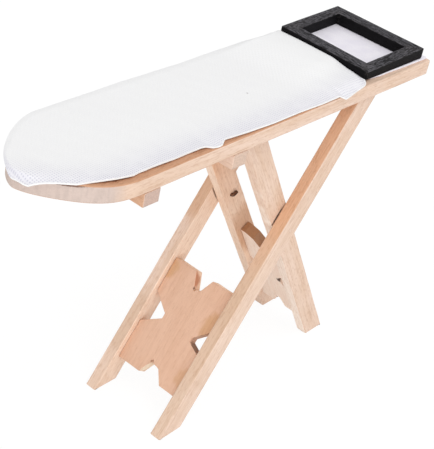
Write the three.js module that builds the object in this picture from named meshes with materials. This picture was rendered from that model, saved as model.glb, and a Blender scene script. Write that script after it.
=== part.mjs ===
import * as THREE from 'three';

// Dollhouse ironing board at 1:12 with a padded cloth top, a wooden rest frame at its heel
// and two pairs of legs crossing like scissors. Millimetres, +Z up, floor at z = 0.
// X runs along the board with the nose at -X and the heel at +X. The near edge is at -Y.
// x = 0 and y = 0 are the middle of the whole object, cloth overhang included.

// Board: a plank with parallel sides and a rounded, slightly pointed nose. The shape share
// is the exponent of the nose's superellipse: 2 is an ellipse, 1 a plain point.
const boardLength = 111.4;
const boardWidth = 26;
const boardThickness = 3.5;
const boardTop = 76;
const boardEdge = 0.35;
const heelCorner = 0.7;
const noseLength = 16.5;
const noseShapeShare = 1.52;

// Cloth cover: overhangs the nose and the far side, and its near hem wanders along the edge.
const coverThickness = 0.6;
const coverOverhang = 1.1;

// Paper underlay below the rest frame.
const underlayLength = 23.5;
const underlayWidth = 24.6;
const underlayThickness = 0.5;
const underlaySetback = 0.45;

// Rest frame: four mitred rails around an open well.
const restLength = 22.2;
const restWidth = 24.4;
const restHeight = 2.4;
const restSetback = 2.6;
const restShift = 0.5;
const restEndRail = 3.5;
const restSideRail = 2.9;
const restToCover = 0.3;
const restSkew = 0.6;

// Cross batten under the nose, and a short block on each side under the middle.
const battenLength = 4.1;
const noseBattenDrop = 3;
const noseBattenFromHeel = 93.2;
const sideBlockDrop = 3.2;
const sideBlockFromHeel = 68.8;

// Legs: both pairs lean alike, so the board stays level when they fold.
const legThickness = 2.8;
const outerLegDepth = 5.8;
const innerLegDepth = 5.5;
const outerLegSpread = 23.2;
const legClearance = 0.3;
const topClearance = 0.3;
const pivotSetback = 23.1;
const topSpan = 32.5;
const footSpan = 57.9;
const outerLegBackReach = 4.6;
const sideBlockClearance = 0.4;

// Nails: two where the legs cross, with their tips bent over, and two at the top pivot.
const nailRadius = 0.4;
const nailClearance = 0.05;
const nailBelowCrossing = 1;
const nailSunk = 0.3;
const nailTipProud = 0.5;
const nailTipLength = 1.3;
const nailBend = 0.45;
const nailTipRiseShare = 0.52;
const topNailGrip = 4;

// Pivot block, fixed under the board between the tops of the outer legs.
const pivotBlockLength = 5;
const pivotBlockDrop = 4.4;

// Panels between the legs of each pair, with a notch in each of their four sides.
const panelThickness = 2.8;
const panelClearance = 0.3;
const outerPanelRise = 7.5;
const outerPanelLength = 26.2;
const innerPanelRise = 7.3;
const innerPanelLength = 30.8;

// Outlines of the panels: share of the width from the middle, near side negative, and share
// of the length from the lower end. The notches were sawn by eye, so no two are alike.
const outerPanelShares = [
  [-0.5, 0], [-0.224, 0], [-0.094, 0.115], [0.047, 0.13], [0.14, 0], [0.5, 0],
  [0.5, 0.37], [0.23, 0.49], [0.23, 0.54], [0.5, 0.67], [0.5, 1],
  [0.14, 1], [0.047, 0.863], [-0.047, 0.863], [-0.14, 1], [-0.5, 1],
  [-0.5, 0.64], [-0.285, 0.5], [-0.285, 0.462], [-0.5, 0.395],
];
const innerPanelShares = [
  [-0.5, 0], [-0.15, 0], [-0.065, 0.119], [0.065, 0.119], [0.15, 0], [0.5, 0],
  [0.5, 0.36], [0.23, 0.46], [0.23, 0.5], [0.5, 0.61], [0.5, 1], [0.4, 1],
  [0.19, 0.96], [0.08, 0.893], [0.02, 0.866], [-0.065, 0.866], [-0.15, 1], [-0.5, 1],
  [-0.5, 0.61], [-0.23, 0.5], [-0.23, 0.46], [-0.5, 0.36],
];

// Near hem of the cover from heel to nose: share of the cover's length measured from its
// nose, and share of the board's half width measured from the middle.
const hemShares = [
  [1, 0.892], [0.988, 0.977], [0.946, 1.008], [0.907, 1.05], [0.883, 1.0846], [0.87, 1.015],
  [0.812, 1], [0.721, 0.973], [0.626, 0.988], [0.543, 0.965], [0.465, 0.927], [0.438, 0.969],
  [0.422, 0.962], [0.406, 0.923], [0.353, 0.896], [0.28, 0.9], [0.215, 0.878], [0.195, 0.897],
  [0.151, 0.858], [0.12, 0.762], [0.079, 0.638], [0.036, 0.408], [0.007, 0.285], [0, 0],
];

// Steps of the round stretches.
const noseSteps = 18;
const arcSteps = 12;
const nailSides = 12;
const nailSteps = 28;

// Places worked out from the sizes.
const underside = boardTop - boardThickness;
const heelX = (boardLength + coverOverhang) / 2;
const noseX = heelX - boardLength;
const coverNoseX = noseX - coverOverhang;
const pivotX = heelX - pivotSetback;
const pivotZ = underside - topClearance - outerLegDepth / 2;
const crossX = pivotX - topSpan / 2;
const slideX = pivotX - topSpan;
const tanLean = (topSpan + footSpan) / 2 / pivotZ;
const lean = Math.atan(tanLean);
const crossZ = pivotZ - topSpan / 2 / tanLean;
const nailZ = crossZ - nailBelowCrossing;
const outerFootX = crossX - footSpan / 2;
const innerFootX = crossX + footSpan / 2;
const outerLegFace = outerLegSpread / 2;
const outerLegInside = outerLegFace - legThickness;
const innerLegFace = outerLegInside - legClearance;
const innerLegInside = innerLegFace - legThickness;

const woodColour = 0xe3c3a0;
const legColour = 0xdfb994;
const panelColour = 0xd9ae86;
const whiteCloth = 0xf1f0f4;
const whitePaper = 0xefedf2;
const blackPaint = 0x2b2a2d;
const nailSteel = 0x5a4636;

const object = new THREE.Group();

function addMesh(parent, name, geometry, colour, roughness, metalness = 0) {
  const material = new THREE.MeshStandardMaterial({ color: colour, roughness, metalness });
  const mesh = new THREE.Mesh(geometry, material);
  mesh.name = name;
  parent.add(mesh);
  return mesh;
}

// A flat outline in X and Y, pulled up by a height from z = 0.
function flatSlab(shape, height) {
  return new THREE.ExtrudeGeometry(shape, {
    depth: height, bevelEnabled: false, curveSegments: arcSteps,
  });
}

// An outline in X and Z, pulled along Y and centred on y = 0.
function uprightSlab(shape, width) {
  const geometry = new THREE.ExtrudeGeometry(shape, {
    depth: width, bevelEnabled: false, curveSegments: arcSteps,
  });
  geometry.rotateX(Math.PI / 2);
  geometry.translate(0, width / 2, 0);
  return geometry;
}

// One side of the nose from the tip back to the parallel sides, as [x, y] pairs. The half
// width follows a superellipse whose exponent sets how pointed the nose is.
function noseSide(tipX, length, halfWidth) {
  const points = [];
  for (let step = 0; step <= noseSteps; step += 1) {
    const angle = (step / noseSteps) * (Math.PI / 2);
    const along = Math.cos(angle) ** (2 / noseShapeShare);
    const across = Math.sin(angle) ** (2 / noseShapeShare);
    points.push([tipX + length * (1 - along), halfWidth * across]);
  }
  points[0][1] = 0;
  points[noseSteps][0] = tipX + length;
  return points;
}

function buildBoard() {
  const half = boardWidth / 2;
  const side = noseSide(noseX, noseLength, half);
  const shape = new THREE.Shape();
  shape.moveTo(heelX, -half + heelCorner);
  shape.lineTo(heelX, half - heelCorner);
  shape.absarc(heelX - heelCorner, half - heelCorner, heelCorner, 0, Math.PI / 2);
  for (const [x, y] of [...side].reverse()) shape.lineTo(x, y);
  for (const [x, y] of side.slice(1)) shape.lineTo(x, -y);
  shape.absarc(heelX - heelCorner, -half + heelCorner, heelCorner, -Math.PI / 2, 0);
  const geometry = new THREE.ExtrudeGeometry(shape, {
    depth: boardThickness - 2 * boardEdge,
    bevelThickness: boardEdge,
    bevelSize: boardEdge,
    bevelOffset: -boardEdge,
    bevelSegments: 2,
    curveSegments: arcSteps / 2,
  });
  const board = addMesh(object, 'board', geometry, woodColour, 0.6);
  board.position.z = underside + boardEdge;
}

function buildCover() {
  const half = boardWidth / 2;
  const heelEnd = heelX - restSetback - restLength - restToCover;
  const length = heelEnd - coverNoseX;
  const farSide = noseSide(coverNoseX, noseLength + coverOverhang, half + coverOverhang);
  const shape = new THREE.Shape();
  shape.moveTo(heelEnd, half + coverOverhang);
  for (const [x, y] of [...farSide].reverse()) shape.lineTo(x, y);
  for (const [along, across] of [...hemShares].reverse().slice(1)) {
    shape.lineTo(coverNoseX + length * along, -half * across);
  }
  const cover = addMesh(object, 'fabric_cover', flatSlab(shape, coverThickness), whiteCloth, 0.95);
  cover.position.z = boardTop;
}

function buildUnderlay() {
  const geometry = new THREE.BoxGeometry(underlayLength, underlayWidth, underlayThickness);
  const underlay = addMesh(object, 'paper_underlay', geometry, whitePaper, 0.9);
  const x = heelX - underlaySetback - underlayLength / 2;
  underlay.position.set(x, 0, boardTop + underlayThickness / 2);
}

// Each rail is a trapezium: its outer side between two outer corners of the frame, and its
// inner side between the two inner corners beside them. The frame is a little out of square
// at its far corner by the cloth.
function buildRestFrame() {
  const heelSide = heelX - restSetback;
  const noseSideX = heelSide - restLength;
  const near = restShift - restWidth / 2;
  const far = restShift + restWidth / 2;
  const outer = [[noseSideX, near], [heelSide, near], [heelSide, far], [noseSideX, far - restSkew]];
  const inner = [
    [noseSideX + restEndRail, near + restSideRail],
    [heelSide - restEndRail, near + restSideRail],
    [heelSide - restEndRail, far - restSideRail],
    [noseSideX + restEndRail, far - restSkew - restSideRail],
  ];
  const names = ['near', 'heel', 'far', 'nose'];
  names.forEach((side, index) => {
    const next = (index + 1) % names.length;
    const corners = [outer[index], outer[next], inner[next], inner[index]];
    const shape = new THREE.Shape(corners.map(([x, y]) => new THREE.Vector2(x, y)));
    const rail = addMesh(object, `rest_rail_${side}`, flatSlab(shape, restHeight), blackPaint, 0.55);
    rail.position.z = boardTop + underlayThickness;
  });
}

function buildBattens() {
  const noseBatten = new THREE.BoxGeometry(battenLength, boardWidth, noseBattenDrop);
  const batten = addMesh(object, 'nose_batten', noseBatten, legColour, 0.65);
  batten.position.set(heelX - noseBattenFromHeel + battenLength / 2, 0, underside - noseBattenDrop / 2);
  const inside = innerLegFace + sideBlockClearance;
  const blockWidth = boardWidth / 2 - inside;
  for (const [side, sign] of [['near', -1], ['far', 1]]) {
    const geometry = new THREE.BoxGeometry(battenLength, blockWidth, sideBlockDrop);
    const block = addMesh(object, `mid_block_${side}`, geometry, legColour, 0.65);
    const x = heelX - sideBlockFromHeel + battenLength / 2;
    block.position.set(x, sign * (inside + blockWidth / 2), underside - sideBlockDrop / 2);
  }
}

function bore(x, z) {
  const path = new THREE.Path();
  path.absarc(x, z, nailRadius + nailClearance, 0, Math.PI * 2);
  return path;
}

// The block's bore is blind in use, and here it runs through, so one outline makes it.
function buildPivotBlock() {
  const half = pivotBlockLength / 2;
  const bottom = underside - pivotBlockDrop;
  const shape = new THREE.Shape();
  shape.moveTo(pivotX - half, bottom);
  shape.lineTo(pivotX + half, bottom);
  shape.lineTo(pivotX + half, underside);
  shape.lineTo(pivotX - half, underside);
  shape.holes.push(bore(pivotX, pivotZ));
  addMesh(object, 'pivot_block', uprightSlab(shape, 2 * innerLegFace), legColour, 0.65);
}

// An outer leg leans to the heel. Its foot is cut level, its back top corner is square and
// stops against the board, and its front top corner is round about the pivot.
function outerLegShape() {
  const radius = outerLegDepth / 2;
  const halfAcross = radius / Math.cos(lean);
  const backX = pivotX + outerLegBackReach;
  const backZ = (backX - halfAcross - outerFootX) / tanLean;
  const shape = new THREE.Shape();
  shape.moveTo(outerFootX - halfAcross, 0);
  shape.lineTo(outerFootX + halfAcross, 0);
  shape.lineTo(backX, backZ);
  shape.lineTo(backX, pivotZ + radius);
  shape.absarc(pivotX, pivotZ, radius, Math.PI / 2, Math.PI - lean);
  shape.holes.push(bore(pivotX, pivotZ));
  shape.holes.push(bore(crossX, nailZ));
  return shape;
}

// An inner leg leans to the nose. Its top is a half round that slides under the board.
function innerLegShape() {
  const radius = innerLegDepth / 2;
  const halfAcross = radius / Math.cos(lean);
  const shape = new THREE.Shape();
  shape.moveTo(innerFootX - halfAcross, 0);
  shape.lineTo(innerFootX + halfAcross, 0);
  shape.absarc(slideX, pivotZ, radius, lean, Math.PI + lean);
  shape.holes.push(bore(crossX, nailZ));
  return shape;
}

function buildLegs() {
  const pairs = [
    ['outer_leg', outerLegShape(), outerLegInside],
    ['inner_leg', innerLegShape(), innerLegInside],
  ];
  for (const [name, shape, inside] of pairs) {
    for (const [side, sign] of [['near', -1], ['far', 1]]) {
      const leg = addMesh(object, `${name}_${side}`, uprightSlab(shape, legThickness), legColour, 0.62);
      leg.position.y = sign * (inside + legThickness / 2);
    }
  }
}

// A panel stands in a group that leans with its legs: Z along the leg, X across its depth.
function buildPanel(name, legInside, footX, turn, rise, length, outlineShares) {
  const width = 2 * (legInside - panelClearance);
  const corners = outlineShares.map(([across, along]) => new THREE.Vector2(width * across, length * along));
  const shape = new THREE.Shape(corners);
  const geometry = new THREE.ExtrudeGeometry(shape, { depth: panelThickness, bevelEnabled: false });
  geometry.translate(0, 0, -panelThickness / 2);
  geometry.rotateX(Math.PI / 2);
  geometry.rotateZ(Math.PI / 2);
  const group = new THREE.Group();
  group.position.x = footX;
  group.rotation.y = turn;
  object.add(group);
  const panel = addMesh(group, name, geometry, panelColour, 0.65);
  panel.position.z = rise;
}

// A nail driven in from the outer face, its head sunk below it. Its tip comes out inside the
// inner leg, is bent over and lies beside the wood, pointing to the heel and rising by a
// share of its run.
function bentNail(sign) {
  const tipY = innerLegInside - nailTipProud;
  const outDirection = new THREE.Vector3(1, 0, nailTipRiseShare).normalize();
  const corner = new THREE.Vector3(crossX, sign * tipY, nailZ);
  const start = new THREE.Vector3(crossX, sign * (outerLegFace - nailSunk), nailZ);
  const bendStart = new THREE.Vector3(crossX, sign * (tipY + nailBend), nailZ);
  const bendEnd = corner.clone().addScaledVector(outDirection, nailBend);
  const tip = corner.clone().addScaledVector(outDirection, nailTipLength);
  const path = new THREE.CurvePath();
  path.add(new THREE.LineCurve3(start, bendStart));
  path.add(new THREE.QuadraticBezierCurve3(bendStart, corner, bendEnd));
  path.add(new THREE.LineCurve3(bendEnd, tip));
  const section = new THREE.Shape();
  section.absarc(0, 0, nailRadius, 0, Math.PI * 2);
  return new THREE.ExtrudeGeometry(section, {
    steps: nailSteps, curveSegments: nailSides / 2, bevelEnabled: false, extrudePath: path,
  });
}

function buildNails() {
  const topNailHead = outerLegFace - nailSunk;
  const topNailLength = topNailHead - innerLegFace + topNailGrip;
  for (const [side, sign] of [['near', -1], ['far', 1]]) {
    addMesh(object, `cross_nail_${side}`, bentNail(sign), nailSteel, 0.5, 0.8);
    const shank = new THREE.CylinderGeometry(nailRadius, nailRadius, topNailLength, nailSides);
    const topNail = addMesh(object, `top_nail_${side}`, shank, nailSteel, 0.5, 0.8);
    topNail.position.set(pivotX, sign * (topNailHead - topNailLength / 2), pivotZ);
  }
}

buildBoard();
buildCover();
buildUnderlay();
buildRestFrame();
buildBattens();
buildPivotBlock();
buildLegs();
buildPanel('outer_panel', outerLegInside, outerFootX, lean, outerPanelRise, outerPanelLength, outerPanelShares);
buildPanel('inner_panel', innerLegInside, innerFootX, -lean, innerPanelRise, innerPanelLength, innerPanelShares);
buildNails();

export default object;
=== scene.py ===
"""Looks of a dollhouse ironing board: cloth top, painted rest frame and folding scissor legs.

Sizes are in millimetres, as in the solids, and a mesh is turned to metres when it is made.
X runs along the board from the nose to the heel, the near side is -Y, and the floor is z = 0.
"""

import logging
import math
from dataclasses import dataclass
from enum import Enum
from typing import NamedTuple

import bpy
import numpy as np
from mathutils import Matrix, Vector
from mathutils.geometry import tessellate_polygon


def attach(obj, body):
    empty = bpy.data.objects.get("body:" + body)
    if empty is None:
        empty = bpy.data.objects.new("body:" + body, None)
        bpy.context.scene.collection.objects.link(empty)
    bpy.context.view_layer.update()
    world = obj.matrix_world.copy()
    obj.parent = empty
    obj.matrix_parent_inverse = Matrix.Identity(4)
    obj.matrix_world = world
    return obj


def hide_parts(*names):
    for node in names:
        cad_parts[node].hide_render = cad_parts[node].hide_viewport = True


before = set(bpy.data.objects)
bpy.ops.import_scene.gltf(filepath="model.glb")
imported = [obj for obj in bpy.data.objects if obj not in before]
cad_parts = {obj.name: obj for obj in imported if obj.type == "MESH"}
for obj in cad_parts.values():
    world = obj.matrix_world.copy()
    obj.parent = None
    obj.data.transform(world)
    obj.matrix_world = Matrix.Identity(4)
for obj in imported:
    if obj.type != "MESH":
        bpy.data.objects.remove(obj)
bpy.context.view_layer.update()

log = logging.getLogger("ironing_board")
MM = 0.001

# Two points of an outline that are nearer than this are one.
SAME_PLACE = 1e-6
# A corner turns by more than 20 degrees, whose cosine is 1 less this.
CORNER_TURN = 0.06
# The largest share of an edge that the rounding of one corner takes.
CORNER_SHARE = 0.45
# The least divisor of a point's outward step, so that sharp corners grow no spikes.
LEAST_DIVISOR = 0.4
# The lengths and shares of the waves that a sanding block leaves in an edge.
WAVE_LENGTHS = np.array([13.0, 7.1, 3.3])
WAVE_SHARES = np.array([0.5, 0.3, 0.2])
CIRCLE_POINTS = 20
ARRIS_ROWS = 4
# A hole's arris as a share of its slab's own.
HOLE_ARRIS = 0.08
# The turn of an outline, in radians, whose upright edge is rubbed as far as it gets.
WORN_TURN = 0.35
WIRE_SIDES = 16
CAP_RINGS = 5
# How far a wire's end bulges, and the radius of its last ring, as shares of its radius.
CAP_BULGE, CAP_TIP = 0.5, 0.02
# The least divisor in the distance from a board's edge, which keeps its middle finite.
LEAST_RADIUS = 0.05
# Faces that meet at more degrees than this show a sharp edge.
SHARP_ABOVE = 42

Pair = tuple[float, float]
Triple = tuple[float, float, float]
Socket = bpy.types.NodeSocket
Material = bpy.types.Material
Value = float | tuple | Socket | None


class Side(Enum):
    """The two sides of the board. The value is the sign of y."""

    NEAR = -1
    FAR = 1

    @property
    def label(self) -> str:
        """What the names of the pieces on this side end with."""
        return self.name.lower()

    def depths(self, inside: float, outside: float) -> list[float]:
        """Where a slab in the UPRIGHT plane, whose depth is -y, starts and ends on this side."""
        return sorted((-self.value * inside, -self.value * outside))


def linear(colour: Triple, level: float = 1.0) -> tuple[float, float, float, float]:
    """Turns a colour as a screen shows it into the linear colour of a shader.

    Args:
        colour: red, green and blue, 0 to 255.
        level: what all three are multiplied by first.

    Returns:
        Red, green and blue, 0 to 1, and an alpha of 1.
    """
    share = np.array(colour, float) * level / 255
    low, high = share / 12.92, ((share + 0.055) / 1.055) ** 2.4
    return (*np.where(share <= 0.04045, low, high).tolist(), 1.0)


# Shapes


def unit(vectors: np.ndarray) -> np.ndarray:
    """A vector, or a vector a row, brought to a length of 1."""
    return vectors / np.linalg.norm(vectors, axis=-1, keepdims=True)


def eased(share: np.ndarray) -> np.ndarray:
    """The smooth step 3 s^2 - 2 s^3 of a share s, which is first kept from 0 to 1."""
    share = np.clip(share, 0, 1)
    return share * share * (3 - 2 * share)


def bent(first: np.ndarray, corner: np.ndarray, last: np.ndarray, t: np.ndarray) -> np.ndarray:
    """The curve (1-t)^2 A + 2t(1-t) P + t^2 B from A to B round a corner P."""
    return (1 - t) ** 2 * first + 2 * t * (1 - t) * corner + t**2 * last


def softened(corners: np.ndarray, radius: float, steps: int) -> np.ndarray:
    """Rounds the corners of a closed outline that turn by more than 20 degrees.

    Each such corner becomes a curve between two points that lie at most radius away on its
    two edges. The other corners stay as they are.

    Args:
        corners: the outline, one x, y pair a row.
        radius: how far along each edge the rounding starts.
        steps: the points that a rounded corner gets.

    Returns:
        The new outline.
    """
    back = np.roll(corners, 1, axis=0) - corners
    ahead = np.roll(corners, -1, axis=0) - corners
    shorter = np.minimum(*(np.linalg.norm(edge, axis=1, keepdims=True) for edge in (back, ahead)))
    back, ahead = unit(back), unit(ahead)
    turns = 1 + np.sum(back * ahead, axis=1, keepdims=True) > CORNER_TURN
    reach = np.minimum(radius, CORNER_SHARE * shorter) * turns
    t = np.linspace(0, 1, steps)[None, :, None]
    first, last = (corners + back * reach)[:, None], (corners + ahead * reach)[:, None]
    points = bent(first, corners[:, None], last, t).reshape(-1, 2)
    moved = np.linalg.norm(points - np.roll(points, 1, axis=0), axis=1)
    return points[moved > SAME_PLACE]


def divided(outline: np.ndarray, longest: float) -> np.ndarray:
    """Puts points on the edges of a closed outline until none is longer than asked.

    Args:
        outline: the outline, one x, y pair a row.
        longest: the longest edge that may stay.

    Returns:
        The new outline, which keeps every old point.
    """
    edges = np.roll(outline, -1, axis=0) - outline
    parts = np.ceil(np.linalg.norm(edges, axis=1) / longest).astype(int)
    edge = np.repeat(np.arange(len(outline)), parts)
    place = np.arange(len(edge)) - np.repeat(np.cumsum(parts) - parts, parts)
    return outline[edge] + edges[edge] * (place / parts[edge])[:, None]


def outward(outline: np.ndarray) -> np.ndarray:
    """The step that moves each point of an outline so that both of its edges move out by 1.

    It is the sum of the two edges' unit normals over 1 plus their dot product.

    Args:
        outline: the outline, counter-clockwise round material or clockwise round a hole.

    Returns:
        One step a point.
    """
    edges = unit(np.roll(outline, -1, axis=0) - outline)
    normals = np.stack([edges[:, 1], -edges[:, 0]], axis=1)
    before = np.roll(normals, 1, axis=0)
    share = 1 + np.sum(normals * before, axis=1, keepdims=True)
    return (normals + before) / np.maximum(share, LEAST_DIVISOR)


def handmade(outline: np.ndarray, sway: float, seed: int) -> np.ndarray:
    """Moves an outline in and out by a hair, as a hand-held sanding block leaves it.

    The step is sway times a sum of three waves of the length along the outline.

    Args:
        outline: the outline, with points about a millimetre apart.
        sway: the largest step.
        seed: what the phases of the waves are drawn from.

    Returns:
        The new outline.
    """
    draw = np.random.default_rng(seed)
    steps = np.linalg.norm(np.roll(outline, -1, axis=0) - outline, axis=1)
    along = (np.cumsum(steps) - steps) / steps.sum()
    waves = np.maximum(np.round(steps.sum() / WAVE_LENGTHS), 1)
    phases = draw.uniform(0, 2 * math.pi, len(WAVE_LENGTHS))
    step = np.sum(WAVE_SHARES * np.sin(2 * math.pi * along[:, None] * waves + phases), axis=1)
    return outline + outward(outline) * (sway * step)[:, None]


@dataclass(frozen=True)
class Cut:
    """How an outline is sawn and sanded: its corners, its longest edges and its unevenness."""

    corner: float
    longest: float
    sway: float
    steps: int = 4

    def outline(self, corners: np.ndarray, seed: int) -> np.ndarray:
        """Rounds an outline's corners, divides its edges and makes them a little uneven.

        Args:
            corners: the outline, one x, y pair a row.
            seed: what the unevenness is drawn from.

        Returns:
            The new outline.
        """
        rounded = softened(corners, self.corner, self.steps)
        return handmade(divided(rounded, self.longest), self.sway, seed)


def arc(centre: Pair, radius: float, angles: np.ndarray) -> np.ndarray:
    """The points of a circle at the given angles, in radians."""
    return np.array(centre) + radius * np.stack([np.cos(angles), np.sin(angles)], axis=1)


def circle(centre: Pair, radius: float, turn: int = 1) -> np.ndarray:
    """A circle as an outline, counter-clockwise, or clockwise where turn is -1."""
    return arc(centre, radius, np.arange(CIRCLE_POINTS) / CIRCLE_POINTS * 2 * math.pi * turn)


@dataclass(frozen=True)
class Plane:
    """The plane that an outline is drawn in: its origin and the directions of u and v."""

    u: Triple
    v: Triple
    origin: Triple = (0.0, 0.0, 0.0)

    @property
    def depth(self) -> np.ndarray:
        """The direction that a slab's thickness is measured in, u cross v."""
        return np.cross(self.u, self.v)

    def place(self, points: np.ndarray) -> np.ndarray:
        """Turns u, v and depth coordinates into x, y and z."""
        return np.array(self.origin) + points @ np.array([self.u, self.v, self.depth])


LEVEL = Plane((1.0, 0.0, 0.0), (0.0, 1.0, 0.0))
UPRIGHT = Plane((1.0, 0.0, 0.0), (0.0, 0.0, 1.0))


@dataclass(frozen=True)
class Shape:
    """A mesh before it is made: points in millimetres, faces, and how worn each point is."""

    points: np.ndarray
    faces: list[list[int]]
    worn: np.ndarray


def strip_faces(rows: int, across: int, start: int, closed: bool) -> list[list[int]]:
    """The four-sided faces between the rows of a grid of points.

    Args:
        rows: how many rows the grid has.
        across: how many points a row has.
        start: the index of the grid's first point.
        closed: whether the last point of a row joins the first.

    Returns:
        The faces, as lists of point indices.
    """
    grid = start + np.arange(rows * across).reshape(rows, across)
    after = np.roll(grid, -1, axis=1)
    if not closed:
        grid, after = grid[:, :-1], after[:, :-1]
    return np.stack([grid[:-1], after[:-1], after[1:], grid[1:]], axis=-1).reshape(-1, 4).tolist()


def slab(
    outline: np.ndarray,
    low: float,
    high: float,
    arris: float,
    plane: Plane,
    holes: tuple[np.ndarray, ...] = (),
    steps: np.ndarray | None = None,
) -> Shape:
    """A flat board cut to an outline, with its edges rounded over.

    The outline is carried through the depth. At an angle a of the rounding it stands back by
    arris times 1 - sin a, at a depth of arris times 1 - cos a from the face.

    Args:
        outline: the outline, counter-clockwise.
        low: where the slab starts along the plane's depth.
        high: where it ends.
        arris: the radius of its rounded edges.
        plane: where the outline lies.
        holes: the outlines of its through holes, clockwise. Their edges stay almost sharp.
        steps: which way each point of the outline stands back, if not square to its edges.

    Returns:
        The closed shape.
    """
    angles = np.linspace(0, math.pi / 2, ARRIS_ROWS)
    back = np.concatenate([1 - np.sin(angles), 1 - np.sin(angles[::-1])]) * arris
    depth = arris * (1 - np.cos(angles))
    height = np.concatenate([low + depth, (high - depth)[::-1]])
    rubbed = np.concatenate([np.sin(2 * angles), np.sin(2 * angles[::-1])])
    rows, start = len(back), 0
    points, faces, worn, first, last = [], [], [], [], []
    for index, loop in enumerate((outline, *holes)):
        count = len(loop)
        away = outward(loop) * (HOLE_ARRIS if index else 1)
        if index == 0 and steps is not None:
            away = steps
        ring = loop[None] - away[None] * back[:, None, None]
        lift = np.broadcast_to(height[:, None, None], (rows, count, 1))
        points.append(np.concatenate([ring, lift], axis=2).reshape(-1, 3))
        edges = np.roll(loop, -1, axis=0) - loop
        turn = np.abs(np.diff(np.unwrap(np.arctan2(*edges[:, ::-1].T)), prepend=0))
        turn[0] = 0
        corner = np.clip(turn / WORN_TURN, 0, 1)
        worn.append(np.maximum(rubbed[:, None], corner[None]).reshape(-1))
        faces += strip_faces(rows, count, start, closed=True)
        first.append(start + np.arange(count))
        last.append(start + (rows - 1) * count + np.arange(count))
        start += rows * count
    flat = np.concatenate(points)
    for ids, sign in ((first, -1), (last, 1)):
        rings = [[Vector((*flat[i, :2], 0.0)) for i in ring] for ring in ids]
        joined = np.concatenate(ids)
        cut = joined[np.array(tessellate_polygon(rings), int)]
        a, b, c = (flat[cut[:, k], :2] for k in range(3))
        twice = (b - a)[:, 0] * (c - a)[:, 1] - (b - a)[:, 1] * (c - a)[:, 0]
        cut = np.where((twice * sign > 0)[:, None], cut, cut[:, ::-1])
        faces += cut.tolist()
    return Shape(plane.place(flat), faces, np.concatenate(worn))


def tube(path: np.ndarray, side: np.ndarray, radius: float) -> Shape:
    """A round wire along a flat path, with both of its ends rounded off.

    A ring of radius r stands at each path point, in the plane of side and side cross the
    path's direction. Past each end the rings shrink as the cosine of an angle while they
    move on by half the radius times its sine.

    Args:
        path: the points that the wire's middle runs through.
        side: the unit vector square to the plane of the path.
        radius: half the wire's thickness.

    Returns:
        The closed shape.
    """
    ahead = unit(np.gradient(path, axis=0))
    angles = np.linspace(0, math.pi / 2, CAP_RINGS + 1)[1:]
    head = path[0] - ahead[0] * (np.sin(angles[::-1]) * radius * CAP_BULGE)[:, None]
    tail = path[-1] + ahead[-1] * (np.sin(angles) * radius * CAP_BULGE)[:, None]
    middle = np.concatenate([head, path, tail])
    first, last = (np.repeat(end, CAP_RINGS, axis=0) for end in (ahead[:1], ahead[-1:]))
    along = np.concatenate([first, ahead, last])
    size = radius * np.concatenate([np.cos(angles[::-1]), np.ones(len(path)), np.cos(angles)])
    size = np.maximum(size, radius * CAP_TIP)[:, None, None]
    turn = (np.arange(WIRE_SIDES) / WIRE_SIDES * 2 * math.pi)[None, :, None]
    across = np.cross(side[None], along)
    rings = middle[:, None] + size * (np.cos(turn) * across[:, None] + np.sin(turn) * side)
    count = len(middle) * WIRE_SIDES
    faces = strip_faces(len(middle), WIRE_SIDES, 0, closed=True)
    faces += [list(range(WIRE_SIDES))[::-1], list(range(count - WIRE_SIDES, count))]
    return Shape(rings.reshape(-1, 3), faces, np.zeros(count))


def placed(name: str, data: bpy.types.ID) -> bpy.types.Object:
    """Makes an object of a mesh, a camera or a light, and puts it in the scene.

    Args:
        name: the object's name.
        data: what it shows.

    Returns:
        The new object.
    """
    made = bpy.data.objects.new(name, data)
    bpy.context.scene.collection.objects.link(made)
    return made


def piece(
    name: str,
    shape: Shape,
    body: str,
    material: Material,
    replaced: tuple[str, ...] = (),
) -> bpy.types.Object:
    """Makes one finished piece, hangs it on its body and hides the solids that it stands for.

    Args:
        name: the piece's name.
        shape: its mesh.
        body: the body that it moves with.
        material: its finish.
        replaced: the solids that it stands for.

    Returns:
        The new object.
    """
    mesh = bpy.data.meshes.new(name)
    mesh.from_pydata((shape.points * MM).tolist(), [], shape.faces)
    worn = mesh.attributes.new("worn", "FLOAT", "POINT")
    worn.data.foreach_set("value", shape.worn.astype(np.float32))
    mesh.polygons.foreach_set("use_smooth", np.ones(len(mesh.polygons), bool))
    mesh.set_sharp_from_angle(angle=math.radians(SHARP_ABOVE))
    mesh.materials.append(material)
    mesh.update()
    made = placed(name, mesh)
    even = made.modifiers.new("even_shading", "WEIGHTED_NORMAL")
    even.keep_sharp = True
    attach(made, body)
    if replaced:
        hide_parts(*replaced)
    log.info("%s: %d faces, rides on %s", name, len(mesh.polygons), body)
    return made


# Finishes


class Cloud(NamedTuple):
    """Noise: its lumps in a millimetre, its finer layers and how far they twist it."""

    scale: float
    detail: float = 2.0
    swirl: float = 0.0


class Streak(NamedTuple):
    """Noise drawn out along Z: its lumps' width over their length, then as a Cloud."""

    share: float
    scale: float
    detail: float = 2.0
    swirl: float = 0.0


class Step(NamedTuple):
    """A smooth step from low, where a value is start, to high, where it is end."""

    start: float
    end: float
    low: float = 0.0
    high: float = 1.0


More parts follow.
